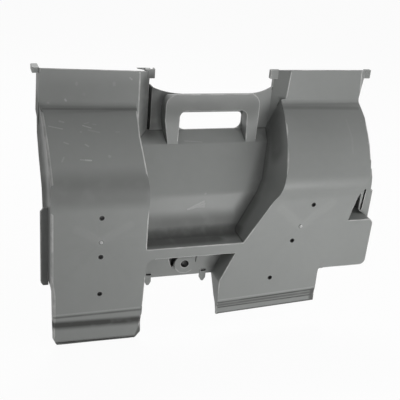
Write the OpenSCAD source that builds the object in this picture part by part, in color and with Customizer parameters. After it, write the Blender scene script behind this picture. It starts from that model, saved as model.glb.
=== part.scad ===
// Moulded plastic kick plate: two hollow channels, a pocket between them with a carry handle at its top,
// and a recessed screw plate below it. Front face towards -Y, up is +Z, the back is open.

/* [Shell] */
// wall thickness of the moulding
wall = 2.8; // [2:0.1:4]
// angle by which the side walls flare towards the back
draft = 3.4; // [1:0.1:6]
// how far both legs' flat fronts reach up, from the middle screw hole
plate_top = 76; // [60:1:85]

/* [Belly] */
// height of the crease above the belly
crease_z = 204; // [190:1:215]
// depth of the crease behind the flat fronts
crease_y = 93; // [80:1:105]
// height of the short slope under the nose
band_h = 14; // [8:1:18]
// slope of the band under the nose, from upright
band_a = 18; // [8:1:24]
// radius of the nose's rounding
nose_r = 30; // [20:1:40]
// slope of the belly where it leaves the nose, from upright
nose_a = 33; // [25:1:38]
// radius of the crease between belly and neck
crease_r = 8; // [4:0.5:16]
// height of the channels' top edge
top_z = 257; // [240:1:265]
// depth of the channels' top edge
top_y = 91; // [84:1:95]
// depth of the rearmost edge
rear_y = 116; // [112:1:125]
// fall of the necks' top edges towards the back, per unit of depth
top_fall = 0.29; // [0:0.01:0.4]

/* [Left channel] */
// slope of the left channel's cross lines
left_cant = 1.6; // [0:0.1:2.5]
// left side of the left front
left_x0 = -247.4; // [-255:0.1:-235]
// right side of the left front
left_x1 = -105.5; // [-112:0.1:-98]
// how much the left belly narrows towards the pocket's top
belly_taper = 10.5; // [6:0.5:14]
// left side of the left neck
left_neck_x0 = -253.5; // [-258:0.1:-246]
// right side of the left neck
left_neck_x1 = -108.5; // [-114:0.1:-104]
// height of the crease over the left lip
left_foot_z = -96; // [-104:1:-88]
// height of the left lip's bottom edge
left_lip_z = -156.6; // [-165:0.2:-145]
// corner cut of the left lip
lip_cut = 11; // [4:1:20]
// height of the gently sloped strip above the left lip
left_foot_step = 11.5; // [4:0.5:14]
// height of the steep strip above the left lip
left_foot_bevel = 17; // [8:0.5:20]

/* [Right channel] */
// left side of the right neck
right_neck_x0 = 134; // [128:1:140]
// right side of the right neck's front at its top
right_neck_x1 = 258.5; // [254:0.5:264]
// right side of the belly at its shoulder
right_belly_x = 258.6; // [254:0.1:264]
// sideways place of the right leg's slanted edge at the shelf
slant_x = 36.2; // [30:0.1:42]
// sideways place of the knee where the slanted edge steepens
knee_x = 98.5; // [92:0.5:104]
// height of the knee
knee_z = 86.5; // [82:0.5:92]
// left side of the right foot
right_foot_x0 = 16.5; // [8:0.5:24]
// right side of the right foot
right_foot_x1 = 187; // [180:0.5:194]
// slope of the right foot's cross lines
right_foot_cant = -2.7; // [-4:0.1:0]
// height of the crease over the right lip
right_foot_z = -93; // [-100:1:-86]
// height of the right lip's bottom edge
right_lip_z = -124; // [-134:1:-116]
// height of the gently sloped strip above the right lip
right_foot_step = 6; // [3:0.5:10]
// height of the steep strip above the right lip
right_foot_bevel = 12; // [6:0.5:18]

/* [Necks] */
// width of each slanted side wall next to the pocket
neck_flare = 20.5; // [12:0.5:26]
// width of the right neck's outer slanted wall at its top
outer_flare = 18.5; // [8:0.5:22]
// height at which the outer slanted wall starts
outer_flare_z = 218; // [206:1:225]
// lean of the right neck's outer edge towards its top
neck_lean = 4.8; // [0:0.2:7]
// lowest reach of the necks behind the pocket
neck_low_z = 143; // [139:1:150]

/* [Pocket] */
// depth of the back wall
back_y = 110; // [104:1:112]
// height of the back wall beside the handle
back_top_z = 224.8; // [218:0.2:232]
// height of the back wall behind the handle
back_dip_z = 213.4; // [206:0.1:216]
// left end of the level part of the back wall's top
dip_x0 = -31; // [-45:1:-20]
// right end of the level part of the back wall's top
dip_x1 = 76; // [65:1:90]
// radius of the gap's corner between left leg and shelf
gap_r = 8; // [3:0.5:12]
// height of the ledge where it meets the back wall
ledge_z = 155.4; // [152:0.2:160]
// depth of the ledge's front line
ledge_y = 89; // [84:1:94]
// height of the ledge's front line
ledge_front_z = 140; // [136:1:144]
// depth of the floor's crease
floor_y = 52; // [46:1:60]
// height of the floor's crease
floor_z = 69; // [60:1:80]
// depth of the pocket at its bottom
pocket_y = 43; // [36:1:50]
// radius between the floor and the pocket's bottom
pocket_r = 12; // [6:1:16]
// height of the pocket's bottom edge
pocket_z = 6.3; // [3:0.1:10]

/* [Handle] */
// left side of the hand opening
grip_x0 = -42.4; // [-50:0.2:-36]
// right side of the hand opening
grip_x1 = 66.8; // [58:0.2:74]
// height of the hand opening's top
grip_z = 192.4; // [186:0.2:198]
// radius of the hand opening's upper corners
grip_r = 10; // [6:1:16]
// radius of the lower corners of the opening in the back wall
grip_low_r = 12; // [6:0.5:12]
// radius of the upper corners of the opening in the back wall
grip_back_r = 7.5; // [3:0.5:10]
// height of the top of the opening in the back wall
grip_back_z = 183.8; // [174:0.2:192]
// how much further right the opening in the back wall starts
grip_back_in = 3.6; // [0:0.2:8]
// height of the handle's top edge
handle_z = 219.3; // [214:0.1:226]
// left side of the handle
handle_x0 = -66; // [-72:0.5:-60]
// right side of the handle
handle_x1 = 87; // [80:0.5:92]
// radius of the handle's upper corners
handle_r = 18; // [8:1:24]
// height at which the handle's arms bend
arm_z = 177.5; // [165:0.5:185]
// how much the left arm narrows towards its foot
arm_taper = 7; // [0:0.5:12]

/* [Shelf] */
// height of the shelf's lower edge
shelf_z = -11.8; // [-16:0.2:-8]
// depth of the screw plate below the shelf
recess_y = 32; // [26:1:36]
// height of the screw plate's lower edge
recess_z = -62.5; // [-70:0.5:-56]
// outer radius of the screw boss
boss_r = 17; // [12:0.5:20]
// radius of the screw boss's bore
boss_bore_r = 6; // [3:0.1:8]
// length of the screw boss
boss_len = 26; // [18:1:32]
// sideways place of the screw boss
boss_x = -34.8; // [-45:0.2:-25]
// height of the screw boss
boss_z = -40.4; // [-44:0.2:-34]
// how far the boss stands out of its plate
boss_out = 4; // [2:0.5:8]
// width of a peg
peg_w = 9.8; // [6:0.2:12]
// height of a peg's tip
peg_z = -76.3; // [-84:0.1:-70]
// sideways place of the left peg
peg_x0 = -93; // [-100:0.5:-88]
// sideways place of the right peg
peg_x1 = -2.2; // [-8:0.1:4]
// depth of the slits in the screw plate
slit_d = 7; // [3:0.5:10]
// height of the slit above each peg, from the screw plate's lower edge
peg_slit_z = 4.5; // [2:0.5:10]

/* [Screw holes] */
// radius of a screw hole
hole_r = 3; // [2:0.1:4]
// length of a screw hole's sleeve behind the face
sleeve = 16; // [8:1:24]
// sideways place of the left row of holes
left_hole_x = -175; // [-185:0.5:-165]
// distance between the left holes
left_pitch = 63.8; // [50:0.2:70]
// sideways place of the slanting row's upper hole
right_top_x = 160.6; // [150:0.1:170]
// height of the slanting row's upper hole
right_top_z = 65.4; // [55:0.1:70]
// sideways place of the slanting row's lower hole
right_low_x = 102.7; // [90:0.1:115]
// height of the slanting row's lower hole
right_low_z = -62.1; // [-72:0.1:-50]
// place of the middle hole along the slanting row
right_mid_part = 0.484; // [0.4:0.001:0.6]

/* [Tab and wings] */
// right side of the tab
tab_x = 274; // [265:0.5:280]
// top of the tab
tab_z1 = 33.3; // [25:0.5:40]
// bottom of the tab
tab_z0 = -52.5; // [-60:0.5:-45]
// corner radius of the tab
tab_r = 10; // [4:0.5:14]
// radius of the inner corner between tab and right leg
tab_corner_r = 3; // [2:0.5:8]
// depth of the side wings
wing_y = 22; // [14:1:26]
// top of the side wings
wing_z1 = 75; // [65:0.5:80]
// bottom of the side wings
wing_z0 = -54; // [-60:0.5:-45]
// how far the left wing stands out
wing_out = 12.5; // [6:0.5:16]
// right side of the right wing
wing_x = 277; // [270:0.5:284]
// width of the slit beside the right wing
wing_slit = 2.5; // [1.5:0.5:5]
// depth of the recess between right leg and wing
wing_recess_d = 26; // [10:1:34]

/* [Ears] */
// height of an ear
ear_h = 14.5; // [8:0.5:18]
// height of the left neck's outer ear
corner_ear_h = 8.8; // [6:0.1:14]
// how far the left neck's outer ear stays behind its front edge
corner_ear_in = 3; // [0:0.5:8]
// how far the ears stand out of the necks
ear_out = 7.5; // [4:0.5:12]
// width of the groove beside the left neck
groove_w = 4.5; // [3:0.5:6]
// depth of the groove beside the left neck
groove_d = 15; // [8:1:20]

/* [Gate marks] */
// radius of the pip left by each mould gate
pip_r = 3.2; // [1:0.1:4]
// how far the pips stand out
pip_h = 1.6; // [0.5:0.1:2.5]
// height of the left pip
left_pip_z = 24.6; // [10:0.1:40]
// sideways place of the right pip
right_pip_x = 143.6; // [130:0.1:155]
// height of the right pip
right_pip_z = 28.6; // [15:0.1:45]

/* [Hidden] */
$fn = 64;
far = 1.82 * back_y;
t = wall;
nose_low = [-band_h * tan(band_a), plate_top + band_h];
nose_c = nose_low + nose_r * [cos(band_a), sin(band_a)];
nose_top = nose_c + nose_r * [-cos(nose_a), sin(nose_a)];
crease = [crease_y, crease_z];
chord = crease - nose_top;
chord_a = atan2(chord.x, chord.y);
belly_r = norm(chord) / (2 * sin(chord_a - nose_a));
belly_c = nose_top + belly_r * [cos(nose_a), -sin(nose_a)];
left_mid = (left_x0 + left_x1) / 2;
right_mid = 130;
lip_y = 7.5;
skin = 0.8;
foot_split = [0.75 * right_foot_z, 0.7 * right_foot_z];
crease_end = right_neck_x1 + 3.7 - crease_y * tan(draft);
slope_a = 2 * chord_a - nose_a;

function unit(v) = v / norm(v);
function inset(p, d) = [for (i = [0 : len(p) - 1])
    let (a = p[(i + len(p) - 1) % len(p)], b = p[i], c = p[(i + 1) % len(p)],
         u = unit(b - a), v = unit(c - b), n = [-u.y, u.x], m = [-v.y, v.x])
    b + d * (n + m) / (1 + n * m)];
// q holds [x, y, radius] for each corner of an outline that runs anticlockwise
function rounded(q) = [for (i = [0 : len(q) - 1])
    let (n = len(q), b = [q[i].x, q[i].y], r = q[i].z,
         a = [q[(i + n - 1) % n].x, q[(i + n - 1) % n].y], c = [q[(i + 1) % n].x, q[(i + 1) % n].y],
         u = unit(a - b), v = unit(c - b), h = acos(u * v) / 2, m = unit(u + v),
         o = b + m * r / sin(h), s = (u.x * v.y - u.y * v.x) < 0 ? 1 : -1,
         w0 = atan2(b.y + u.y * r / tan(h) - o.y, b.x + u.x * r / tan(h) - o.x), k = 8)
    each r < 0.01 ? [b] : [for (j = [0 : k]) let (w = w0 + s * (180 - 2 * h) * j / k) o + r * [cos(w), sin(w)]]];
// a strip of wall thickness along the solid side of a path
function strip(p, d) = concat(p, [for (i = [len(p) - 1 : -1 : 0])
    let (b = p[i], u = unit(b - p[max(i - 1, 0)] + (i == 0 ? p[1] - b : [0, 0])),
         v = unit(p[min(i + 1, len(p) - 1)] - b + (i == len(p) - 1 ? b - p[i - 1] : [0, 0])),
         n = [-u.y, u.x], m = [-v.y, v.x])
    b + d * (n + m) / (1 + n * m)]);

// side profiles are drawn as (depth, height) and swept along X
module along_x(x0, x1) translate([x0, 0, 0]) rotate([90, 0, 90]) linear_extrude(x1 - x0) children();
// front outlines are drawn as (X, height) and swept along Y
module along_y(y0, y1) translate([0, y1, 0]) rotate([90, 0, 0]) linear_extrude(y1 - y0) children();
module canted(x, z, a) translate([x, 0, z]) rotate([0, a, 0]) translate([-x, 0, -z]) children();
module flared(x) for (s = [-1, 1]) translate([x, 0, 0]) rotate([0, 0, s * draft]) translate([-x, 0, 0]) children();

// everything behind the front skin, o deep into it
module leg_profile(o, foot_z, step, bevel, lip_z) polygon(inset([[lip_y + 0.8, lip_z - 20], [far, lip_z - 20],
    [far, nose_c.y], nose_c, nose_low, [0, plate_top], [0, foot_z], [1.2, foot_z - step],
    [lip_y, foot_z - step - bevel]], o));
module belly_profile(o) {
    translate(nose_c) circle(nose_r - o);
    intersection() {
        translate(belly_c) circle(belly_r - o, $fn = 180);
        polygon([nose_c - [0, 20], [far, nose_c.y - 20], [far, crease_z + 40], [crease_y - 20, crease_z + 40],
            nose_c + 2 * nose_r * [-cos(nose_a), sin(nose_a)], nose_c]);
    }
    crease_fillet(o);
}
// the hollow between belly and neck is rounded
module crease_fillet(o) {
    lean_a = atan((crease_y - top_y) / (top_z - crease_z));
    up = [-sin(lean_a), cos(lean_a)];
    down = [-sin(slope_a), -cos(slope_a)];
    h = acos(up * down) / 2;
    mid = unit(up + down);
    reach = crease_r / tan(h);
    inner = crease - mid * o / sin(h);
    difference() {
        polygon([inner - mid * 2, inner + up * (reach + o / tan(h)), inner + mid * (crease_r + o) / sin(h) * 0.75,
            inner + down * (reach + o / tan(h))]);
        translate(inner + mid * (crease_r + o) / sin(h)) circle(crease_r + o, $fn = 96);
    }
}
module neck_profile(o) {
    lean = (crease_y - top_y) / (top_z - crease_z);
    z0 = neck_low_z + o;
    z1 = o > 0 ? top_z + 20 : top_z;
    polygon([[crease_y + (crease_z - z0) * lean + o, z0], [far, z0], [far, z1 - top_fall * (far - top_y)],
        [crease_y + (crease_z - z1) * lean + o, z1]]);
}
// the open back: how deep the side walls reach at each height
module rear_profile() polygon([[-30, -200], [lip_y + t + 1, -200], [lip_y + t + 1, -130], [14, -108], [37, -62],
    [44, -20], [70, 48], [77, 82], [101, 122], [rear_y, 155], [rear_y, 300], [-30, 300]]);

left_outline = [[left_x0 + 4, left_lip_z + lip_cut + 3], [left_x0 + 4 + lip_cut * 0.6, left_lip_z],
    [left_x1 - lip_cut, left_lip_z - 1], [left_x1 - 1.8, left_lip_z + lip_cut], [left_x1 - 2.6, left_foot_z - 2],
    [left_x1, left_foot_z + 61], [left_x1, plate_top - 16], [left_x1 - 3, 118], [left_x1 - belly_taper, 170],
    [left_x1 - belly_taper, 230], [left_x0, 230], [left_x0, wing_z0 + 16], [left_x0 + 3, wing_z0 - 8],
    [left_x0 + 3, left_foot_z - 4]];
foot_drop = (right_foot_x1 - right_foot_x0) * tan(-right_foot_cant);
function bend(a, b, c, n) = [for (i = [0 : n]) let (w = i / n) (1 - w) * (1 - w) * a + 2 * w * (1 - w) * b + w * w * c];
right_outline = concat([[right_foot_x0 + 3, right_lip_z - foot_drop / 2],
    [right_foot_x1 + 5.2, right_lip_z + foot_drop / 2], [right_foot_x1 + 4.6, right_foot_z + foot_drop / 2 - right_foot_step - right_foot_bevel],
    [right_foot_x1 + 1.2, right_foot_z + foot_drop / 2 - right_foot_step], [right_foot_x1 + 0.4, -62], [right_foot_x1 + 0.8, -53], [226, 28], [232, 54]],
    bend([243.5, 96], [right_belly_x, 128], [right_belly_x, 185], 6),
    [[crease_end, crease_z], [crease_end, 230], [right_neck_x0 - 3.8, 230], [right_neck_x0 - 4, 200], [knee_x, knee_z],
    [slant_x, shelf_z - 2.5], [right_foot_x0 - 1, -60], [right_foot_x0, right_foot_z - 4]]);

module neck(x0, x1, f0, f1, o) intersection() {
    along_x(x0 - 60, x1 + 60) neck_profile(o);
    translate([0, 0, 100]) linear_extrude(200) polygon(inset([[x0, 50], [x1, 50], [x1, top_y],
        [x1 + f1, back_y], [x1 + f1, far], [x0 - f0, far], [x0 - f0, back_y], [x0, top_y]], o));
}
module left_channel(o) {
    intersection() {
        canted(left_mid, 0, left_cant) along_x(-330, -50) {
            leg_profile(o, left_foot_z, left_foot_step, left_foot_bevel, left_lip_z - 10);
            belly_profile(o);
        }
        flared(left_mid) along_y(-30, o > 0 ? 190 : 150) polygon(inset(left_outline, o));
    }
    canted(left_mid, crease_z, left_cant) intersection() {
        neck(left_neck_x0, left_neck_x1, 2, neck_flare, o);
        along_y(0, far) polygon(inset([[left_neck_x0 + 2.5, 100], [-50, 100], [-50, 330], [left_neck_x0 - 2.3, 330],
            [left_neck_x0 - 2.3, crease_z - 15], [left_neck_x0 + 2.5, crease_z - 40]], o));
    }
}
module right_channel(o) {
    intersection() {
        union() {
            along_x(-20, 320) intersection() {
                union() {
                    leg_profile(o, -190, 5, 5, -230);
                    belly_profile(o);
                }
                translate([-far / 4, foot_split[0]]) square([2 * far, 2.5 * far]);
            }
            canted((right_foot_x0 + right_foot_x1) / 2, right_foot_z, right_foot_cant) along_x(-20, 320) intersection() {
                leg_profile(o, right_foot_z, right_foot_step, right_foot_bevel, right_lip_z - 10);
                translate([-far / 4, foot_split[1] - far]) square([2 * far, far]);
            }
        }
        flared(right_mid) along_y(-30, o > 0 ? 190 : 150) polygon(inset(right_outline, o));
    }
    intersection() {
        neck(right_neck_x0, right_neck_x1 + 60, neck_flare, 0, o);
        canted(right_neck_x1, top_z, -neck_lean) translate([0, 0, 80]) linear_extrude(240)
            polygon(inset([[50, 40], [right_neck_x1, 40], [right_neck_x1, top_y], [right_neck_x1 + outer_flare, back_y],
                [right_neck_x1 + outer_flare, far], [50, far]], o));
        along_y(0, far) polygon(inset([[50, 100], [right_neck_x1 + 3.4, 100], [right_neck_x1 + 3.4, crease_z - 2],
            [right_neck_x1 + 4.3, outer_flare_z], [right_neck_x1 + outer_flare + 1, top_z - 6],
            [right_neck_x1 + outer_flare + 1, 330], [50, 330]], o));
    }
}

// below its wing the left leg's outer wall is shallow
module shallow_side() along_x(left_x0 - 8, left_x0 + 9) polygon([[16, wing_z0 - 1], [60, wing_z0 - 1], [60, -200],
    [13, -200], [13, wing_z0 - 50]]);
// the left lip's lower and right edges turn back
module lip_bevels() canted(left_mid, 0, left_cant) {
    along_x(left_x0, left_x1) polygon([[lip_y - 3, left_lip_z + 4], [lip_y + 0.6, left_lip_z + 4],
        [lip_y + t, left_lip_z - 0.5], [lip_y + t, left_lip_z - 4], [lip_y - 3, left_lip_z - 4]]);
}

// the front of the middle, from the back wall's top down to the screw plate's foot
middle_path = concat([[back_y, back_top_z + 20], [back_y, ledge_z], [ledge_y, ledge_front_z], [floor_y, floor_z]],
    [for (a = [0 : -15 : -90]) [pocket_y - pocket_r + pocket_r * cos(a), pocket_z + 1.4 + pocket_r + pocket_r * sin(a)]],
    [[0, pocket_z], [0, shelf_z], [recess_y, shelf_z], [recess_y, recess_z]]);
groove_x = left_neck_x1 + neck_flare;
dip_rise = back_top_z - back_dip_z;
function dip_r(run) = (run * run + dip_rise * dip_rise) / (2 * dip_rise);

handle_outline = rounded([[handle_x0 + arm_taper, 137, 0], [handle_x1, 137, 0], [handle_x1, handle_z, handle_r],
    [handle_x0, handle_z, handle_r], [handle_x0, arm_z, 0]]);
function grip_outline(o, low) = inset(rounded([[grip_x0, low, 0], [grip_x1 + 6, low, 0], [grip_x1, arm_z, 0],
    [grip_x1, grip_z, grip_r], [grip_x0, grip_z, grip_r]]), -o);
module handle_profile(o) {
    fall = (handle_z - back_dip_z) / (back_y - ledge_y);
    polygon(inset([[ledge_y + 0.5, 128], [far, 128], [far, handle_z - fall * (far - ledge_y)],
        [ledge_y, handle_z], [ledge_y - 1.5, arm_z]], o));
}
module handle(o) intersection() {
    along_y(60, o > 0 ? 150 : back_y + t) difference() {
        polygon(inset(handle_outline, o));
        polygon(grip_outline(o, 100));
    }
    along_x(handle_x0 - 20, handle_x1 + 20) handle_profile(o);
}
module middle() difference() {
    along_x(left_neck_x1 - 4, right_neck_x0) polygon(strip(middle_path, t));
    along_y(back_y - 5, back_y + 20) intersection() {
        union() {
            translate([dip_x0, back_dip_z + dip_r(dip_x0 - groove_x - groove_w)])
                circle(dip_r(dip_x0 - groove_x - groove_w), $fn = 180);
            translate([dip_x1, back_dip_z + dip_r(right_neck_x0 - neck_flare - dip_x1)])
                circle(dip_r(right_neck_x0 - neck_flare - dip_x1), $fn = 128);
            translate([dip_x0, back_dip_z]) square([dip_x1 - dip_x0, 120]);
        }
        translate([groove_x + groove_w, 0]) square([1.5 * far, 2 * far]);
    }
    along_y(back_y - 2, back_y + 20) polygon(rounded([[grip_x0 + grip_back_in, ledge_z, grip_low_r], [grip_x1, ledge_z, grip_low_r],
        [grip_x1, grip_back_z, grip_back_r], [grip_x0 + grip_back_in, grip_back_z, grip_back_r]]));
    handle(t);
}
module groove_block() translate([groove_x - t, back_y + 0.2, ledge_z - 3])
    cube([groove_w + t + 1.8, groove_d + t, back_top_z - ledge_z + 3]);
module groove() translate([groove_x, back_y - 4, ledge_z + 1]) cube([groove_w, groove_d + 4, top_z - ledge_z]);

module screw_boss() translate([boss_x, recess_y - boss_out, boss_z]) rotate([-90, 0, 0]) {
    cylinder(r = boss_r, h = boss_out + t);
    cylinder(r = boss_bore_r + 3, h = boss_len);
}
module boss_bore() translate([boss_x, recess_y - boss_out - 1, boss_z]) rotate([-90, 0, 0])
    cylinder(r = boss_bore_r, h = boss_len + 2);
boss_gap = [[boss_x - boss_r - 9, boss_z + 12], [boss_x - boss_r - 4, boss_z - 6], [boss_x - boss_r - 1.5, boss_z - 6],
    [boss_x - boss_r, boss_z + 3], [boss_x - 8, boss_z + 12]];
// the slits in the screw plate are blind
module boss_slit() translate([boss_x + boss_r + 1.5, recess_y - 1, boss_z]) cube([1.5, slit_d + 1, 14]);
module slit_backs() {
    translate([boss_x + boss_r + 0.3, recess_y + 1, boss_z - 1.2]) cube([3.9, slit_d - 1 + skin, 16.4]);
    for (x = [peg_x0, peg_x1]) translate([x - peg_w / 2 + 0.5, recess_y + 1, recess_z + peg_slit_z - 1])
        cube([peg_w + 0.5, slit_d - 1 + skin, 5]);
}
module peg(x) {
    along_y(recess_y - 1, recess_y + t + 1) polygon([[x - 1.6, peg_z], [x + 1.6, peg_z], [x + peg_w / 2, peg_z + 6],
        [x + peg_w / 2, recess_z + 8], [x - peg_w / 2, recess_z + 8], [x - peg_w / 2, peg_z + 6]]);
    translate([x - 2, recess_y + t, peg_z + 8]) cube([4, 3, 34]);
}
module peg_slit(x) translate([x - peg_w / 2 + 1.5, recess_y - 3, recess_z + peg_slit_z]) cube([peg_w - 1.5, slit_d + 3, 3]);
module gap_corner() translate([left_x1 - 1, 0, shelf_z]) along_y(0, recess_y + 1) difference() {
    translate([0, -gap_r - 1]) square(gap_r + 2);
    translate([gap_r + 2.5, -gap_r]) circle(gap_r);
    translate([gap_r + 2.5, -gap_r - 2]) square([5, gap_r * 2 + 4]);
    translate([2.5, -gap_r - 2]) square([20, 2]);
}

module sleeve_at(p) translate([p.x, t - 1, p.y]) rotate([-90, 0, 0]) cylinder(r = hole_r + 2.4, h = sleeve - t + 1);
module hole_at(p) translate([p.x, -3, p.y]) rotate([-90, 0, 0]) cylinder(r = hole_r, h = sleeve + 6);
module pip_at(p) translate([p.x, -pip_h, p.y]) rotate([-90, 0, 0]) cylinder(r1 = pip_r - 1, r2 = pip_r, h = pip_h + 0.5);
left_holes = [for (i = [-1 : 1]) [left_hole_x, i * left_pitch]];
right_holes = [for (part = [0, right_mid_part, 1])
    [right_top_x, right_top_z] + part * [right_low_x - right_top_x, right_low_z - right_top_z]];

tab_outline = rounded([[188.5, tab_z0, 0], [tab_x, tab_z0, tab_r], [tab_x, tab_z1, tab_r], [227, tab_z1, 0]]);
module tab() difference() {
    along_y(0, wing_y + 2) polygon(tab_outline);
    along_y(t, wing_y + 30) polygon(inset(tab_outline, t));
}
module tab_corner() along_y(0, t) difference() {
    translate([right_foot_x1 - 1, tab_z0 - tab_corner_r + 0.3]) square([tab_corner_r + 2.5, tab_corner_r + 0.7]);
    translate([right_foot_x1 + 0.9 + tab_corner_r, tab_z0 - tab_corner_r]) circle(tab_corner_r);
}
slit_x = wing_x - 14.5 - wing_slit;
recess_x = slit_x + wing_slit + 4.5;
module wing_recess() {
    intersection() {
        along_x(220, recess_x + t) polygon([[wing_y + 0.5, tab_z1 - t], [wing_y + wing_recess_d + t, tab_z1 - t],
            [wing_y + wing_recess_d + t, wing_z1 + 4], [wing_y + wing_recess_d, wing_z1 + 4],
            [wing_y + wing_recess_d, tab_z1], [wing_y + 0.5, tab_z1]]);
        along_y(wing_y, 100) polygon([[227.5, tab_z1 - t - 1], [recess_x + t, tab_z1 - t - 1], [recess_x + t, wing_z1 + 5],
            [240.2, wing_z1 + 5]]);
    }
    translate([recess_x, wing_y + 0.7, tab_z1 - t]) cube([t, wing_recess_d + t - 0.7, wing_z1 + 4 - tab_z1 + t]);
}
module right_wing() {
    along_y(wing_y, wing_y + t) difference() {
        polygon([[232, wing_z0], [wing_x, wing_z0], [wing_x, wing_z1], [272.7, wing_z1], [272.4, 86], [271, 99],
            [267.5, 112], [258, 127], [248, 118], [238, 96], [228, 54]]);
        polygon([[slit_x - 1.5, tab_z1 + 6.2], [slit_x + wing_slit - 1, tab_z1 + 6.2], [slit_x + wing_slit + 1.5, wing_z1 + 2],
            [slit_x + 1.5, wing_z1 + 2]]);
        polygon([[220, tab_z1], [recess_x, tab_z1], [slit_x - 1, tab_z1 + 4.6], [slit_x - 3.7, tab_z1 + 8],
            [slit_x - 3.7, wing_z1], [220, wing_z1]]);
    }
    wing_recess();
    translate([wing_x - t, wing_y, wing_z0]) cube([t, 13, wing_z1 - wing_z0]);
}
module left_wing() {
    along_y(wing_y, wing_y + t) polygon([[left_x0 - 1, wing_z0], [left_x0 - wing_out + 3, wing_z0],
        [left_x0 - wing_out, wing_z0 + 5], [left_x0 - wing_out, wing_z1 - 6], [left_x0 - wing_out + 4, wing_z1],
        [left_x0 - 1, wing_z1]]);
    translate([left_x0 - wing_out, wing_y, wing_z0 + 5]) cube([t, t + 3, wing_z1 - wing_z0 - 11]);
}
module ear(x0, x1, y0, y1, z1) translate([x0, y0, z1 - ear_h]) cube([x1 - x0, y1 - y0, ear_h]);
module ears() {
    rise = (left_neck_x1 - left_neck_x0) / 2 * tan(left_cant);
    translate([left_neck_x0 - ear_out - 1.5, top_y + corner_ear_in, top_z + rise + 0.5 - corner_ear_h])
        cube([ear_out + 2.5, rear_y - 1 - top_y - corner_ear_in, corner_ear_h]);
    ear(groove_x - 8, groove_x + ear_out - 0.5, back_y - 5, back_y + t, top_z - rise - 1);
    along_y(back_y - 1, back_y + t) polygon([[left_neck_x1, top_z - rise - 1], [left_neck_x1 + 1, top_z - rise - 1.8],
        [groove_x - 8, top_z - rise - 3.6], [groove_x - 7, top_z - rise - 1]]);
    ear(right_neck_x0 - neck_flare - ear_out, right_neck_x0 - neck_flare + 7, back_y - 5, back_y + t, top_z - 4.5);
    ear(right_neck_x1 + outer_flare - 3, right_neck_x1 + outer_flare + ear_out + 1.5, back_y - 2, back_y + 4, top_z - 5);
}

module kick_plate() color([0.47, 0.48, 0.47]) translate([-boss_x, boss_out - recess_y, -boss_z]) difference() {
    union() {
        difference() {
            union() {
                intersection() {
                    union() {
                        left_channel(0);
                        right_channel(0);
                    }
                    along_x(-1.75 * far, 1.75 * far) rear_profile();
                }
                middle();
            }
            left_channel(t);
            right_channel(t);
        }
        difference() {
            intersection() {
                handle(0);
                along_x(-100, 120) polygon([[-30, 0], [back_y + t, 0], [back_y + t, 300], [-30, 300]]);
            }
            handle(t);
        }
        groove_block();
        screw_boss();
        along_y(recess_y, recess_y + 12) polygon(inset(boss_gap, -1.8));
        for (x = [peg_x0, peg_x1]) peg(x);
        slit_backs();
        gap_corner();
        for (p = left_holes) sleeve_at(p);
        for (p = right_holes) sleeve_at(p);
        pip_at([left_hole_x, left_pip_z]);
        pip_at([right_pip_x, right_pip_z]);
        tab();
        tab_corner();
        right_wing();
        left_wing();
        ears();
    }
    groove();
    boss_bore();
    shallow_side();
    lip_bevels();
    along_y(recess_y - 1, recess_y + 10) polygon(boss_gap);
    for (x = [peg_x0, peg_x1]) peg_slit(x);
    boss_slit();
    for (p = left_holes) hole_at(p);
    for (p = right_holes) hole_at(p);
}

kick_plate();
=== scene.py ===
import bpy
import bmesh
import math
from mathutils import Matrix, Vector
from mathutils.bvhtree import BVHTree
from mathutils.kdtree import KDTree


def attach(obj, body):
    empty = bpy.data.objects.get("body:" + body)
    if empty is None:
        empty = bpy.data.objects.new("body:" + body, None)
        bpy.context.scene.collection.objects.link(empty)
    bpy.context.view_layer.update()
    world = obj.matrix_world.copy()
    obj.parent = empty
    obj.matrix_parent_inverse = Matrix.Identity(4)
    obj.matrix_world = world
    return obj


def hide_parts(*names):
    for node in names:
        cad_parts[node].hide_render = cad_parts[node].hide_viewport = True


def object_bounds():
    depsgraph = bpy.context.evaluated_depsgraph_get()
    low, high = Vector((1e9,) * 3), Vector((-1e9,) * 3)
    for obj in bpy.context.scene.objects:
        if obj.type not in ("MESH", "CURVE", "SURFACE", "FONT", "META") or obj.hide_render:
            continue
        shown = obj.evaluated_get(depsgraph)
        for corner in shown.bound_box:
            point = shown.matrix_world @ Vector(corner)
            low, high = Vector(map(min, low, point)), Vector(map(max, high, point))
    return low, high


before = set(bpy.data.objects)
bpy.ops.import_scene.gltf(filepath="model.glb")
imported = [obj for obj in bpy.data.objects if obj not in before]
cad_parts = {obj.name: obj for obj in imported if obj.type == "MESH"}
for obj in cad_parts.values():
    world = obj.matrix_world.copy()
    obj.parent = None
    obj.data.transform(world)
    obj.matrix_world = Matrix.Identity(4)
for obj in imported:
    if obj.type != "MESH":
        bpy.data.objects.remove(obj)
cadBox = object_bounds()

print("frame loaded")


def added(name, data):
    thing = bpy.data.objects.new(name, data)
    bpy.context.scene.collection.objects.link(thing)
    return thing


def applied(piece):
    # the piece with its modifiers worked in, as a plain mesh
    done = bpy.data.meshes.new_from_object(piece.evaluated_get(bpy.context.evaluated_depsgraph_get()))
    piece.modifiers.clear()
    return done


# camera: where the photographer stood, in the part's own frame
shot = {
    "place": (-0.32062, -0.95426, 0.57761),
    "turn": (65.163, -4.7895, -17.1934),   # degrees
    "lens": 65.608,
    "film": 36.0,
    "clip": (0.05, 60.0),
}

eye = added("eye", bpy.data.cameras.new("eye"))
eye.data.lens, eye.data.sensor_width, eye.data.sensor_fit = shot["lens"], shot["film"], "HORIZONTAL"
eye.data.clip_start, eye.data.clip_end = shot["clip"]
eye.location = shot["place"]
eye.rotation_euler = [math.radians(a) for a in shot["turn"]]
bpy.context.scene.camera = eye
bpy.context.scene.view_settings.view_transform = "Standard"
print("camera set")

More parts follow.
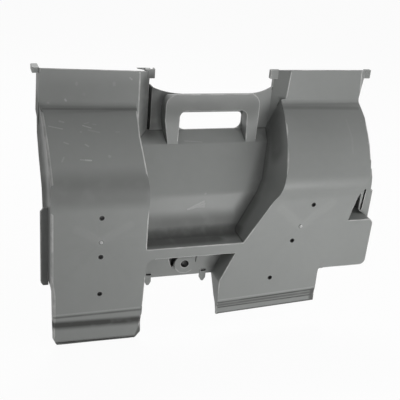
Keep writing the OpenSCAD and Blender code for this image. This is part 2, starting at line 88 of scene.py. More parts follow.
# the moulding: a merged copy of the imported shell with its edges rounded
moulding = {
    "mergeWithin": 2e-6,
    "flatBelow": 0.6,      # degrees, faces that are made one before the rounding
    "edgeRadius": 0.0014,
    "edgeFrom": 28.0,      # degrees between two faces that meet in an edge
    "roundSteps": 3,
    "endPiece": 0.005,     # a long edge's two ends can have less rounding than its middle
    "longFrom": 3.2,       # counted in end pieces
    "sharedRoom": 0.42,    # how much of a face's side one rounding may take when two meet there
    "ownRoom": 0.85,       # and when it is alone
    "softBelow": 34.0,     # degrees, faces that shade as one surface
    "rimBelow": 62.0,      # degrees from a rim to a flat that it shades towards
    # faults of a rounding, and how the corners near one are eased
    "stray": 0.0018,
    "foldedFrom": 1.002,   # how much more than its outline a folded face's triangles fill
    "foldedOver": 1e-8,
    "tinyFace": 4e-6,
    "easeWithin": 0.0025,
    "easeRounds": 14,
    "halveRounds": 5,      # after these a corner at a fault gets no rounding
    # an outer front edge inside one of these boxes has the wider rounding given with it,
    # which fades towards the box's top and bottom
    "outerFacing": -0.25,
    "fadeOver": 0.022,
    "wideEdges": [
        (0.0036, (-0.2190, -0.030, -0.120), (-0.2080, 0.090, 0.262)),   # left channel, outer side
        (0.0022, (-0.0840, -0.030, 0.050), (-0.0660, 0.068, 0.250)),    # left channel, beside the pocket
        (0.0036, (0.0700, -0.030, 0.052), (0.1360, -0.020, 0.130)),     # right leg, beside the pocket
        (0.0042, (0.1310, -0.030, 0.130), (0.1725, 0.040, 0.222)),      # right belly, beside the pocket
        (0.0036, (-0.0800, -0.030, -0.110), (-0.0690, -0.016, -0.060)),  # right end of the left lip
        (0.0036, (0.2180, -0.030, -0.080), (0.2320, -0.016, -0.046)),    # right end of the right lip
        (0.0024, (0.2340, -0.030, 0.080), (0.3000, 0.068, 0.240)),      # right belly, outer side
    ],
}


def mergedCopy(node, name, m):
    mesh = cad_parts[node].data.copy()
    work = bmesh.new()
    work.from_mesh(mesh)
    bmesh.ops.remove_doubles(work, verts=work.verts, dist=m["mergeWithin"])
    bmesh.ops.dissolve_limit(work, angle_limit=math.radians(m["flatBelow"]), verts=work.verts, edges=work.edges,
                             use_dissolve_boundaries=False)
    for e in [e for e in work.edges if e.calc_face_angle(0) > math.radians(m["edgeFrom"])]:
        length = e.calc_length()
        if length > m["longFrom"] * m["endPiece"]:
            start, end = e.verts
            rest = bmesh.utils.edge_split(e, start, m["endPiece"] / length)[0]
            longer = max((rest, e), key=lambda x: x.calc_length())
            bmesh.utils.edge_split(longer, end, m["endPiece"] / longer.calc_length())
    work.to_mesh(mesh)
    work.free()
    mesh.materials.clear()
    for slot in ("flat", "rim"):
        mesh.materials.append(bpy.data.materials.new(slot))
    return added(name, mesh)


def wantedRadius(e, m):
    outer = e.is_convex and min(f.normal.y for f in e.link_faces) < m["outerFacing"]
    for radius, low, high in m["wideEdges"]:
        if outer and all(low[k] <= v.co[k] <= high[k] for v in e.verts for k in range(3)):
            height = (e.verts[0].co.z + e.verts[1].co.z) / 2
            share = min(1.0, min(height - low[2], high[2] - height) / m["fadeOver"])
            return m["edgeRadius"] + (radius - m["edgeRadius"]) * max(share, 0.0)
    return m["edgeRadius"]


def weighEdges(mesh, m, eased):
    # each sharp edge gets as much rounding as the faces beside it leave room for
    work = bmesh.new()
    work.from_mesh(mesh)
    layers = work.edges.layers.float
    weight = layers.get("bevel_weight_edge") or layers.new("bevel_weight_edge")
    space = {e: wantedRadius(e, m) for e in work.edges if e.calc_face_angle(0) > math.radians(m["edgeFrom"])}
    for f in work.faces:
        for corner in f.loops:
            before, after = corner.link_loop_prev.edge, corner.edge
            if before not in space and after not in space:
                continue
            turn = min(corner.calc_angle(), math.pi - 1e-3)   # so that the tangent below stays finite
            if before in space and after in space:
                if corner.is_convex:
                    for e in (before, after):
                        space[e] = min(space[e], m["sharedRoom"] * e.calc_length() * math.tan(turn / 2))
                continue
            e, slide = (before, after) if before in space else (after, before)
            meets = any(x in space for x in slide.other_vert(corner.vert).link_edges)
            room = m["sharedRoom" if meets else "ownRoom"]
            space[e] = min(space[e], room * slide.calc_length() * math.sin(turn))
    widest = max(r for r, low, high in m["wideEdges"])
    for e, s in space.items():
        e[weight] = s / widest * min(eased.get(v.index, 1.0) for v in e.verts)
    work.to_mesh(mesh)
    work.free()
    return widest


def rounded(piece, m, widest):
    bevel = piece.modifiers.new("rounding", "BEVEL")
    bevel.limit_method = "WEIGHT"
    bevel.width = widest
    bevel.segments = m["roundSteps"]
    bevel.use_clamp_overlap = False
    bevel.material = 1
    return applied(piece)


def crossed(a, b, c, d):
    def side(p, q, r):
        return (q[0] - p[0]) * (r[1] - p[1]) - (q[1] - p[1]) * (r[0] - p[0])
    return side(a, b, c) * side(a, b, d) < 0 and side(c, d, a) * side(c, d, b) < 0


def faults(mesh, before, m):
    # corners that the rounding threw out, and places where a face's outline crosses itself
    spots = []
    for v in mesh.vertices:
        if before.find_nearest(v.co)[3] > m["stray"]:
            spots.append(v.co)
    mesh.calc_loop_triangles()
    filled = [0.0] * len(mesh.polygons)
    for t in mesh.loop_triangles:
        filled[t.polygon_index] += t.area
    for p in mesh.polygons:
        if len(p.vertices) < 4:
            continue
        ring = [mesh.vertices[i].co for i in p.vertices]
        fan = ((ring[i] - ring[0]).cross(ring[i + 1] - ring[0]) for i in range(1, len(ring) - 1))
        flat = sum(fan, Vector()) / 2
        if filled[p.index] < flat.length * m["foldedFrom"] + m["foldedOver"]:
            continue
        drop = max(range(3), key=lambda k: abs(flat[k]))
        seen = [[c[k] for k in range(3) if k != drop] for c in ring]
        n, found = len(ring), False
        for i in range(n):
            for j in range(i + 2, n):
                if (j + 1) % n != i and crossed(seen[i], seen[(i + 1) % n], seen[j], seen[(j + 1) % n]):
                    short = min(((ring[i], ring[(i + 1) % n]), (ring[j], ring[(j + 1) % n])),
                                key=lambda ends: (ends[0] - ends[1]).length)
                    spots.append((short[0] + short[1]) / 2)
                    found = True
        if not found and flat.length < m["tinyFace"]:
            spots.append(sum(ring, Vector()) / n)
    return spots


def softNormals(mesh, m):
    # flats keep their own direction up to the rim, curved strips share theirs,
    # rims turn from one flat to the next
    near, rimNear = math.cos(math.radians(m["softBelow"])), math.cos(math.radians(m["rimBelow"]))
    at = [[] for _ in mesh.vertices]
    for p in mesh.polygons:
        for i in p.vertices:
            at[i].append(p)
    normals = [p.normal.copy() for p in mesh.polygons]

    def flatNormal(p, i):
        return sum((q.area * normals[q.index] for q in at[i]
                    if q.material_index == 0 and normals[q.index].dot(normals[p.index]) > near), Vector())

    split = []
    for p in mesh.polygons:
        for i in p.vertices:
            if p.material_index == 0:
                n = flatNormal(p, i)
            else:
                beside = [q for q in at[i] if normals[q.index].dot(normals[p.index]) > rimNear]
                flats = [q for q in beside if q.material_index == 0]
                if flats:
                    n = flatNormal(max(flats, key=lambda q: normals[q.index].dot(normals[p.index])), i)
                else:
                    n = sum((q.area * normals[q.index] for q in beside), Vector())
            split.append(n.normalized() if n.length > 0 else normals[p.index])
    for p in mesh.polygons:
        p.use_smooth = True
    mesh.normals_split_custom_set(split)


def markRims(mesh, before):
    # rim is 1 on rounded outer edges, -1 in rounded inner corners and 0 on the flats
    rim = mesh.attributes.new("rim", "FLOAT", "FACE")
    for p in mesh.polygons:
        if p.material_index == 1:
            spot = before.find_nearest(p.center)[0]
            inside = (spot - p.center).dot(p.normal) > 0
            rim.data[p.index].value = 1.0 if inside else -1.0
        p.material_index = 0


def roundOff(piece, m):
    corners = piece.data.vertices
    before = BVHTree.FromPolygons([v.co for v in corners], [p.vertices for p in piece.data.polygons])
    places = KDTree(len(corners))
    for v in corners:
        places.insert(v.co, v.index)
    places.balance()
    eased = {}
    for turn in range(m["easeRounds"]):
        done = rounded(piece, m, weighEdges(piece.data, m, eased))
        spots = faults(done, before, m)
        print("rounding", turn, "faults", len(spots))
        if not spots:
            break
        hit = {i for s in spots for _, i, _ in places.find_range(s, m["easeWithin"])}
        for i in hit | {places.find(s)[1] for s in spots}:
            eased[i] = eased.get(i, 1.0) / 2 if turn < m["halveRounds"] else 0.0
    for v in done.vertices:
        spot, _, _, gap = before.find_nearest(v.co)
        if gap > m["stray"]:
            v.co = spot
        v.co = [min(max(v.co[k], cadBox[0][k]), cadBox[1][k]) for k in range(3)]
    piece.data = done
    done.update()
    softNormals(done, m)
    markRims(done, before)


shell = mergedCopy("kick_plate", "moulding", moulding)
roundOff(shell, moulding)
print("moulding rounded:", len(shell.data.polygons), "faces")


def put(tree, kind, feeds=None, **settings):
    # one node with its settings, its inputs either values or another node's output
    made = tree.nodes.new(kind)
    for name, value in settings.items():
        setattr(made, name, value)
    for name, value in (feeds or {}).items():
        if isinstance(value, bpy.types.NodeSocket):
            tree.links.new(value, made.inputs[name])
        else:
            made.inputs[name].default_value = value
    return made


def calc(tree, operation, a, b=0.0, c=0.0, clamp=False):
    return put(tree, "ShaderNodeMath", {0: a, 1: b, 2: c}, operation=operation, use_clamp=clamp).outputs[0]


def vec(tree, operation, a, b=(0, 0, 0)):
    made = put(tree, "ShaderNodeVectorMath", {0: a, 1: b}, operation=operation)
    return made.outputs["Value" if operation in ("LENGTH", "DOT_PRODUCT", "DISTANCE") else "Vector"]


def scaled(tree, v, s):
    return put(tree, "ShaderNodeVectorMath", {0: v, "Scale": s}, operation="SCALE").outputs["Vector"]


def ramp(tree, value, low, high, toLow=0.0, toHigh=1.0):
    return put(tree, "ShaderNodeMapRange", {"Value": value, "From Min": low, "From Max": high,
                                            "To Min": toLow, "To Max": toHigh},
               interpolation_type="SMOOTHSTEP").outputs["Result"]


def noise(tree, place, scale, detail=2.0):
    return put(tree, "ShaderNodeTexNoise", {"Vector": place, "Scale": scale, "Detail": detail}).outputs["Fac"]


def newGroup(name, ins, outs):
    tree = bpy.data.node_groups.new(name, "ShaderNodeTree")
    for label, kind, value in ins:
        socket = tree.interface.new_socket(name=label, in_out="INPUT", socket_type=kind)
        if value is not None:
            socket.default_value = value
    for label, kind in outs:
        tree.interface.new_socket(name=label, in_out="OUTPUT", socket_type=kind)
    return tree, tree.nodes.new("NodeGroupInput").outputs, tree.nodes.new("NodeGroupOutput").inputs


number, point, colour = "NodeSocketFloat", "NodeSocketVector", "NodeSocketColor"


def mouldSkin():
    # the spark-eroded satin skin of a moulded part
    tree, given, gives = newGroup(
        "mouldSkin",
        [("Place", point, None), ("Grey", colour, None), ("Mottle", number, 0.1),
         ("Roughness", number, 0.4), ("Spread", number, 0.1)],
        [("Color", colour), ("Roughness", number), ("Height", number)])
    fineInTone, grainInTone, fineInHeight = 0.4, 0.06, 0.35
    broad = noise(tree, given["Place"], scale=7.0, detail=3.0)
    fine = noise(tree, given["Place"], scale=90.0, detail=4.0)
    grain = noise(tree, given["Place"], scale=1500.0)
    both = calc(tree, "MULTIPLY_ADD", fine, fineInTone, broad)
    tone = calc(tree, "MULTIPLY_ADD", calc(tree, "SUBTRACT", both, (1 + fineInTone) / 2), given["Mottle"], 1.0)
    speck = calc(tree, "MULTIPLY_ADD", calc(tree, "SUBTRACT", grain, 0.5), grainInTone, tone)
    tree.links.new(scaled(tree, given["Grey"], speck), gives["Color"])
    rough = calc(tree, "MULTIPLY_ADD", calc(tree, "SUBTRACT", fine, 0.5), given["Spread"], given["Roughness"])
    tree.links.new(rough, gives["Roughness"])
    tree.links.new(calc(tree, "MULTIPLY_ADD", fine, fineInHeight, grain), gives["Height"])
    return tree


def flowMark():
    # faint rays in the plastic around the point where it was injected
    tree, given, gives = newGroup(
        "flowMark",
        [("Place", point, None), ("Gate", point, None), ("Reach", number, 0.1),
         ("Rays", number, 4.0), ("Strength", number, 0.1)],
        [("Tone", number)])
    away = vec(tree, "SUBTRACT", given["Place"], given["Gate"])
    ray = scaled(tree, vec(tree, "NORMALIZE", away), given["Rays"])
    streak = noise(tree, ray, scale=1.0, detail=3.0)
    fade = calc(tree, "DIVIDE", vec(tree, "LENGTH", away), given["Reach"])
    fade = ramp(tree, fade, low=0.05, high=1.0, toLow=1.0, toHigh=0.0)
    lift = calc(tree, "MULTIPLY", calc(tree, "SUBTRACT", streak, 0.5), given["Strength"])
    tree.links.new(calc(tree, "MULTIPLY_ADD", lift, fade, 1.0), gives["Tone"])
    return tree


def mark():
    # one soft line between two points: a scratch, a scuff, a painted highlight or a line of painted shade
    tree, given, gives = newGroup(
        "mark",
        [("Place", point, None), ("Start", point, None), ("End", point, None), ("Width", number, 0.001),
         ("Strength", number, 0.5), ("Grain", number, 900.0), ("Least", number, 0.45)],
        [("Mask", number)])
    along = vec(tree, "SUBTRACT", given["End"], given["Start"])
    away = vec(tree, "SUBTRACT", given["Place"], given["Start"])
    reached, length = vec(tree, "DOT_PRODUCT", away, along), vec(tree, "DOT_PRODUCT", along, along)
    part = calc(tree, "DIVIDE", reached, length, clamp=True)
    gap = vec(tree, "DISTANCE", away, scaled(tree, along, part))
    gap = calc(tree, "DIVIDE", gap, given["Width"])
    worn = ramp(tree, noise(tree, given["Place"], given["Grain"]), low=0.3, high=0.55, toLow=given["Least"])
    hit = calc(tree, "MULTIPLY", ramp(tree, gap, low=0.25, high=1.0, toLow=1.0, toHigh=0.0), given["Strength"])
    tree.links.new(calc(tree, "MULTIPLY", hit, worn), gives["Mask"])
    return tree


def rimWearAndLight():
    # outer edges rub pale and smooth and carry a painted highlight, inner corners hold dirt and painted shade
    tree, given, gives = newGroup(
        "rimWearAndLight",
        [("Place", point, None), ("Rim", number, 0.0), ("Rub", number, 0.3), ("Dirt", number, 0.3)],
        [("Pale", number), ("Dark", number)])
    worn = ramp(tree, noise(tree, given["Place"], scale=60.0, detail=3.0), low=0.35, high=0.65, toLow=0.45)
    pale = calc(tree, "MULTIPLY", calc(tree, "MAXIMUM", given["Rim"], 0.0), given["Rub"])
    tree.links.new(calc(tree, "MULTIPLY", pale, worn), gives["Pale"])
    dark = calc(tree, "MAXIMUM", calc(tree, "MULTIPLY", given["Rim"], -1.0), 0.0)
    tree.links.new(calc(tree, "MULTIPLY", dark, given["Dirt"]), gives["Dark"])
    return tree


def boreShade():
    # painted shade for the dark inside of a bore that runs back from a front face
    tree, given, gives = newGroup(
        "boreShade",
        [("Place", point, None), ("Mouth", point, None), ("Radius", number, 0.003)],
        [("Mask", number)])
    off = vec(tree, "SUBTRACT", given["Place"], given["Mouth"])
    gap = vec(tree, "LENGTH", vec(tree, "MULTIPLY", off, (1, 0, 1)))
    beyond = calc(tree, "SUBTRACT", gap, given["Radius"])
    inside = ramp(tree, beyond, low=0.0002, high=0.0011, toLow=1.0, toHigh=0.0)
    depth = put(tree, "ShaderNodeSeparateXYZ", {0: off}).outputs["Y"]
    deeper = ramp(tree, depth, low=0.0004, high=0.0022, toLow=0.85)
    tree.links.new(calc(tree, "MULTIPLY", inside, deeper), gives["Mask"])
    return tree


def slotShade():
    # the same for a slot or gap with flat sides
    tree, given, gives = newGroup(
        "slotShade",
        [("Place", point, None), ("Middle", point, None), ("Half", point, None)],
        [("Mask", number)])
    off = vec(tree, "ABSOLUTE", vec(tree, "SUBTRACT", given["Place"], given["Middle"]))
    over = put(tree, "ShaderNodeSeparateXYZ", {0: vec(tree, "SUBTRACT", off, given["Half"])}).outputs
    most = calc(tree, "MAXIMUM", calc(tree, "MAXIMUM", over["X"], over["Y"]), over["Z"])
    tree.links.new(calc(tree, "LESS_THAN", most, 0.0), gives["Mask"])
    return tree


# the plastic, everything that years of use left on it, and the highlights and shade painted on it
plastic = {
    "parts": (-0.065, 0.105),      # x where the left part ends and where the right one begins
    "frontFacing": -0.99,          # the flat fronts are a part too, found by their normal's y
    "frontBefore": -0.0275,        # and by their own
    "grey": (0.230, 0.238, 0.231),
    "rimGrey": (0.285, 0.29, 0.283),
    "mottle": 0.16,
    "roughness": 0.46,
    "spread": 0.12,
    "grainHeight": 0.00002,
    "grainStrength": 0.35,
    "rimRubAndHighlight": 0.85,
    "rubAndHighlightColour": (0.55, 0.55, 0.54),
    "rubRoughness": -0.15,         # what a full rub, mark or line of painted shade adds to the roughness
    "scratchAndHighlightColour": (0.52, 0.52, 0.52),
    "markRoughness": 0.2,
    "cornerDirtAndShade": 0.5,
    "dirtAndShadeColour": (0.03, 0.03, 0.028),
    "paintedShadeRoughness": 0.6,
    "paintedShadeGrain": 45.0,             # size and depth of the patches in a line of painted shade
    "paintedShadeLeast": 0.8,
    "holeShadeColour": (0.004, 0.004, 0.004),
    # place, reach, rays, strength
    "gates": [((-0.1402, -0.028, 0.065), 0.16, 3.2, 0.1), ((0.1784, -0.028, 0.069), 0.16, 3.2, 0.1)],
    "boreRim": 0.0020,             # past its radius a bore's shade still reaches this far
    # mouth, radius: the six screw holes, then the boss
    "bores": [
        ((-0.1402, -0.028, 0.1042), 0.0034), ((-0.1402, -0.028, 0.0404), 0.0034),
        ((-0.1402, -0.028, -0.0234), 0.0034), ((0.1954, -0.028, 0.1058), 0.0034),
        ((0.16738, -0.028, 0.04409), 0.0034), ((0.1375, -0.028, -0.0217), 0.0034),
        ((0.0, 0.0, 0.0), 0.006),
    ],
    # middle, half size
    "slots": [
        ((-0.05745, 0.0085, -0.0161), (0.0043, 0.0040, 0.0017)),
        ((0.03335, 0.0085, -0.0161), (0.0043, 0.0040, 0.0017)),
        ((0.01925, 0.0085, 0.007), (0.0009, 0.0040, 0.0072)),
        ((-0.0170, 0.0095, 0.003), (0.0090, 0.0045, 0.0090)),
        ((0.29625, 0.00775, 0.09875), (0.0036, 0.0135, 0.0195)),
    ],
    # scratches and scuffs, and painted highlights on the feet, the gate pips and the boss; start, end, width,
    # strength
    "marks": [
        ((-0.2084, 0.0318, 0.2243), (-0.1896, 0.0282, 0.2208), 0.0014, 0.34),
        ((-0.1600, 0.0329, 0.2237), (-0.1489, 0.0296, 0.2209), 0.0015, 0.42),
        ((-0.1579, 0.0355, 0.2256), (-0.1515, 0.0369, 0.2265), 0.0013, 0.18),
        ((-0.1455, 0.0349, 0.2248), (-0.1414, 0.0342, 0.2242), 0.0016, 0.14),
        ((-0.1530, 0.0269, 0.2188), (-0.1377, 0.0241, 0.2161), 0.0018, 0.14),
        ((-0.1135, 0.0247, 0.2158), (-0.1082, 0.0247, 0.2157), 0.0018, 0.10),
        ((-0.1642, 0.0246, 0.2172), (-0.1640, 0.0246, 0.2172), 0.0024, 0.18),
        ((-0.1924, 0.0386, 0.2289), (-0.1869, 0.0372, 0.2277), 0.0020, 0.24),
        ((-0.1894, 0.0120, 0.2068), (-0.1839, 0.0103, 0.2050), 0.0017, 0.26),
        ((-0.1597, 0.0095, 0.2035), (-0.1558, 0.0076, 0.2015), 0.0018, 0.30),
        ((-0.1274, -0.0030, 0.1897), (-0.1270, -0.0030, 0.1893), 0.0034, 0.20),
        ((-0.1689, -0.0063, 0.1871), (-0.1620, -0.0067, 0.1864), 0.0013, 0.30),
        ((-0.1620, -0.0067, 0.1864), (-0.1538, -0.0071, 0.1858), 0.0017, 0.62),
        ((-0.1918, -0.0040, 0.1903), (-0.1947, -0.0079, 0.1859), 0.0020, 0.18),
        ((-0.0873, 0.0634, 0.2850), (-0.0845, 0.0635, 0.2823), 0.0018, 0.36),
        ((-0.1810, 0.0647, 0.2526), (-0.1799, 0.0648, 0.2505), 0.0022, 0.42),
        ((-0.1650, 0.0638, 0.2768), (-0.1650, 0.0638, 0.2748), 0.0030, 0.14),
        ((-0.1104, 0.0638, 0.2770), (-0.1104, 0.0638, 0.2740), 0.0034, 0.14),
        ((-0.1543, 0.0644, 0.2607), (-0.1540, 0.0644, 0.2604), 0.0034, 0.08),
        ((-0.2056, 0.0642, 0.2478), (-0.2050, 0.0642, 0.2478), 0.0026, 0.18),
        ((0.2886, 0.0314, 0.2220), (0.2896, 0.0314, 0.2190), 0.0014, 0.25),
        ((0.2904, 0.0019, 0.1953), (0.2911, 0.0010, 0.1920), 0.0014, 0.25),
        ((0.0039, 0.0198, 0.0865), (0.0301, 0.0219, 0.0980), 0.0020, 0.36),
        ((0.0100, 0.0200, 0.0880), (0.0306, 0.0212, 0.0939), 0.0030, 0.30),
        ((0.0039, 0.0198, 0.0865), (0.0172, 0.0204, 0.0897), 0.0022, 0.36),
        ((0.0172, 0.0204, 0.0897), (0.0309, 0.0204, 0.0894), 0.0024, 0.28),
        ((0.0295, 0.0217, 0.0965), (0.0307, 0.0205, 0.0900), 0.0024, 0.26),
        ((0.0314, 0.0241, 0.1095), (0.0334, 0.0243, 0.1103), 0.0016, 0.25),
        ((0.0048, 0.0649, 0.1832), (0.0321, 0.0626, 0.1816), 0.0014, 0.2),
        ((-0.1276, 0.0539, 0.2374), (-0.0797, 0.0543, 0.2364), 0.0014, 0.08),
        # painted highlights along the top of the two feet
        ((-0.2075, -0.0279, -0.0545), (-0.0772, -0.0280, -0.0542), 0.0018, 0.22),
        ((0.0524, -0.0280, -0.0559), (0.2192, -0.0280, -0.0476), 0.0018, 0.24),
        # painted highlights on the two gate pips
        ((-0.1412, -0.0296, 0.0665), (-0.1409, -0.0296, 0.0663), 0.0042, 0.75),
        ((0.1796, -0.0296, 0.0695), (0.1799, -0.0296, 0.0693), 0.0042, 0.75),
        # lighter V-shaped bands from each gate
        ((-0.1749, -0.0280, 0.0884), (-0.1412, -0.0280, 0.0665), 0.0100, 0.06),
        ((-0.1412, -0.0280, 0.0665), (-0.0991, -0.0280, 0.0906), 0.0100, 0.06),
        ((0.1409, -0.0280, 0.1023), (0.1796, -0.0280, 0.0695), 0.0110, 0.07),
        ((0.1796, -0.0280, 0.0695), (0.2281, -0.0280, 0.1074), 0.0110, 0.07),
        # painted highlight along the boss's lower rim
        ((-0.0152, 0.0, -0.0071), (-0.0084, 0.0, -0.0145), 0.0014, 0.5),
        ((-0.0084, 0.0, -0.0145), (0.0023, 0.0, -0.0166), 0.0014, 0.5),
        ((0.0023, 0.0, -0.0166), (0.0119, 0.0, -0.0119), 0.0014, 0.4),
        ((0.2627, 0.0334, 0.2235), (0.2640, 0.0080, 0.2020), 0.0026, 0.06),
        ((0.2640, 0.0080, 0.2020), (0.2601, -0.0088, 0.1834), 0.0026, 0.06),
    ],
    # lines of painted shade, written the same way
    "paintedShade": [
        ((-0.2133, 0.0569, 0.2416), (-0.1431, 0.0577, 0.2402), 0.0034, 0.42),
        ((-0.1431, 0.0577, 0.2402), (-0.0764, 0.0585, 0.2389), 0.0034, 0.42),
        ((0.1600, 0.0550, 0.2386), (0.2199, 0.0540, 0.2378), 0.0050, 0.24),
        ((0.2199, 0.0540, 0.2378), (0.2900, 0.0521, 0.2366), 0.0050, 0.24),
        ((-0.2115, -0.0274, -0.0592), (-0.0700, -0.0279, -0.0587), 0.0028, 0.55),   # left foot
        ((-0.2105, -0.0228, -0.0762), (-0.0700, -0.0225, -0.0806), 0.0135, 0.85),
        ((-0.2030, -0.0202, -0.1125), (-0.0800, -0.0202, -0.1150), 0.0060, 0.70),
        ((-0.0705, -0.0203, -0.0900), (-0.0775, -0.0202, -0.1115), 0.0050, 0.60),
        ((0.0500, -0.0271, -0.0618), (0.2240, -0.0272, -0.0525), 0.0028, 0.75),     # right foot
        ((0.0550, -0.0240, -0.0680), (0.2230, -0.0240, -0.0600), 0.0065, 0.55),
        ((0.0568, -0.0205, -0.0744), (0.2222, -0.0205, -0.0676), 0.0024, 0.70),
        ((0.0574, -0.0203, -0.0868), (0.2225, -0.0203, -0.0785), 0.0035, 0.70),
        ((0.2190, -0.0269, -0.0544), (0.2240, -0.0203, -0.0782), 0.0070, 0.70),
        ((-0.0646, 0.0060, 0.0500), (0.0830, 0.0080, 0.0500), 0.0240, 0.66),        # pocket's bottom
        ((-0.0646, -0.0100, 0.0470), (0.0450, -0.0100, 0.0470), 0.0180, 0.60),
        ((-0.2000, -0.0240, 0.1480), (-0.0850, -0.0240, 0.1480), 0.0360, 0.34),     # under the left nose
        ((-0.0646, 0.0130, 0.0600), (0.0830, 0.0150, 0.0600), 0.0300, 0.40),        # pocket's lower floor
        ((0.0846, 0.0141, 0.0558), (0.1100, 0.0200, 0.0950), 0.0240, 0.46),         # pocket's right wall
        ((0.1100, 0.0200, 0.0950), (0.1500, 0.0660, 0.1900), 0.0200, 0.38),
        ((0.1523, 0.0639, 0.2151), (0.1446, 0.0252, 0.1791), 0.0300, 0.45),
        ((-0.0520, 0.0720, 0.2701), (-0.0500, 0.0760, 0.2054), 0.0280, 0.68),       # left neck
        ((-0.2300, 0.0300, 0.1300), (-0.2300, 0.0200, -0.0500), 0.0550, 0.66),      # left channel's outer side
        ((-0.2450, 0.0400, 0.1500), (-0.2450, 0.0850, 0.2250), 0.0600, 0.66),
        ((0.0488, 0.0040, -0.0030), (0.0620, -0.0080, 0.0200), 0.0200, 0.42),       # beside the boss
        ((-0.0600, 0.0000, 0.0190), (0.0500, 0.0000, 0.0190), 0.0120, 0.42),
        ((-0.0350, 0.0450, 0.2350), (0.1100, 0.0450, 0.2350), 0.0340, 0.34),        # handle
        ((-0.2000, 0.0640, 0.2600), (-0.0850, 0.0640, 0.2600), 0.0400, 0.16),       # left top
    ],
}


# the plastic material: mould skin, flow marks, wear and scratches, with painted highlights and painted shade
# mixed into its colour
def plasticWithWearAndPaintedLight(name, p, groups, bores=(), slots=(), marks=(), paintedShade=()):
    mat = bpy.data.materials.new(name)
    mat.use_nodes = True
    tree = mat.node_tree
    skin = tree.nodes["Principled BSDF"]
    place = put(tree, "ShaderNodeTexCoord").outputs["Object"]

    def use(group, **feeds):
        return put(tree, "ShaderNodeGroup", {"Place": place, **feeds}, node_tree=groups[group]).outputs

    base = use("mouldSkin", Grey=(*p["grey"], 1), Mottle=p["mottle"],
               Roughness=p["roughness"], Spread=p["spread"])
    tone = base["Color"]
    for gate, reach, rays, strength in p["gates"]:
        tone = scaled(tree, tone, use("flowMark", Gate=gate, Reach=reach, Rays=rays, Strength=strength)["Tone"])
    rim = put(tree, "ShaderNodeAttribute", attribute_name="rim").outputs["Fac"]
    rimTone = use("rimWearAndLight", Rim=rim, Rub=p["rimRubAndHighlight"], Dirt=p["cornerDirtAndShade"])

    def strongest(masks):
        # each mask joins the total as soon as it is made, which keeps the shader short
        total = next(masks)
        for mask in masks:
            total = calc(tree, "MAXIMUM", total, mask)
        return total

    def mixed(factor, a, b):
        return put(tree, "ShaderNodeMix", {0: factor, 6: a, 7: (*b, 1)}, data_type="RGBA").outputs[2]

    def drawn(lines, **feeds):
        return strongest(use("mark", Start=a, End=b, Width=w, Strength=s, **feeds)["Mask"]
                         for a, b, w, s in lines)

    # rubbed outer edges with a painted highlight, dirt and painted shade in the inner corners
    tone = mixed(rimTone["Pale"], tone, p["rubAndHighlightColour"])
    tone = mixed(rimTone["Dark"], tone, p["dirtAndShadeColour"])
    rough = calc(tree, "MULTIPLY_ADD", rimTone["Pale"], p["rubRoughness"], base["Roughness"])
    # scratches and painted highlights
    if marks:
        hit = drawn(marks)
        tone = mixed(hit, tone, p["scratchAndHighlightColour"])
        rough = calc(tree, "MULTIPLY_ADD", hit, p["markRoughness"], rough)
    # lines of painted shade, darker where shade falls on the part
    if paintedShade:
        hit = drawn(paintedShade, Grain=p["paintedShadeGrain"], Least=p["paintedShadeLeast"])
        tone = mixed(hit, tone, p["dirtAndShadeColour"])
        rough = calc(tree, "MULTIPLY_ADD", hit, p["paintedShadeRoughness"], rough, clamp=True)
    # painted shade inside the bores and slots
    if bores:
        hit = strongest(use("boreShade", Mouth=c, Radius=r)["Mask"] for c, r in bores)
        tone = mixed(hit, tone, p["holeShadeColour"])
    if slots:
        hit = strongest(use("slotShade", Middle=c, Half=h)["Mask"] for c, h in slots)
        tone = mixed(hit, tone, p["holeShadeColour"])
    tree.links.new(tone, skin.inputs["Base Color"])
    tree.links.new(rough, skin.inputs["Roughness"])
    bump = put(tree, "ShaderNodeBump", {"Height": base["Height"], "Strength": p["grainStrength"],
                                        "Distance": p["grainHeight"]})
    tree.links.new(bump.outputs["Normal"], skin.inputs["Normal"])
    return mat


groups = {make.__name__: make() for make in (mouldSkin, flowMark, mark, rimWearAndLight, boreShade, slotShade)}


def dressShell(piece, p, groups):
    # one plastic in four parts, each with only the marks, painted highlights and painted shade that reach its
    # own faces, to keep the shaders short
    mesh = piece.data
    mesh.materials.clear()

    def partOf(f):
        if f.normal.y < p["frontFacing"] and f.center.y < p["frontBefore"]:
            return "Front"
        return "Left" if f.center.x < p["parts"][0] else "Right" if f.center.x > p["parts"][1] else "Middle"

    for index, name in enumerate(("Front", "Left", "Middle", "Right")):
        own = [f for f in mesh.polygons if partOf(f) == name]
        for f in own:
            f.material_index = index
        ends = [mesh.vertices[i].co for f in own for i in f.vertices]
        low = [min(c[k] for c in ends) for k in range(3)]
        high = [max(c[k] for c in ends) for k in range(3)]

        def near(a, b, reach):
            return all(min(a[k], b[k]) - reach < high[k] and max(a[k], b[k]) + reach > low[k]
                       for k in range(3))

        bores = [t for t in p["bores"] if near(t[0], t[0], t[1] + p["boreRim"])]
        slots = [t for t in p["slots"] if near(t[0], t[0], max(t[1]))]
        marks = [t for t in p["marks"] if near(t[0], t[1], t[2])]
        paintedShade = [t for t in p["paintedShade"] if near(t[0], t[1], t[2])]
        print("plastic", name, len(own), "faces", len(marks), "marks", len(paintedShade), "painted shade lines")
        mesh.materials.append(plasticWithWearAndPaintedLight("satinGrey" + name, p, groups, bores, slots, marks, paintedShade))


dressShell(shell, plastic, groups)
print("plastic made")

# the slightly raised rims that the moulding's pins left round the six screw holes
holeRims = {
    "places": [mouth for mouth, radius in plastic["bores"][:6]],
    "ringRadius": 0.0044,
    "beadRadius": 0.0004,
    "sunk": 0.0002,
    "ringSteps": 40,
    "beadSteps": 8,
}


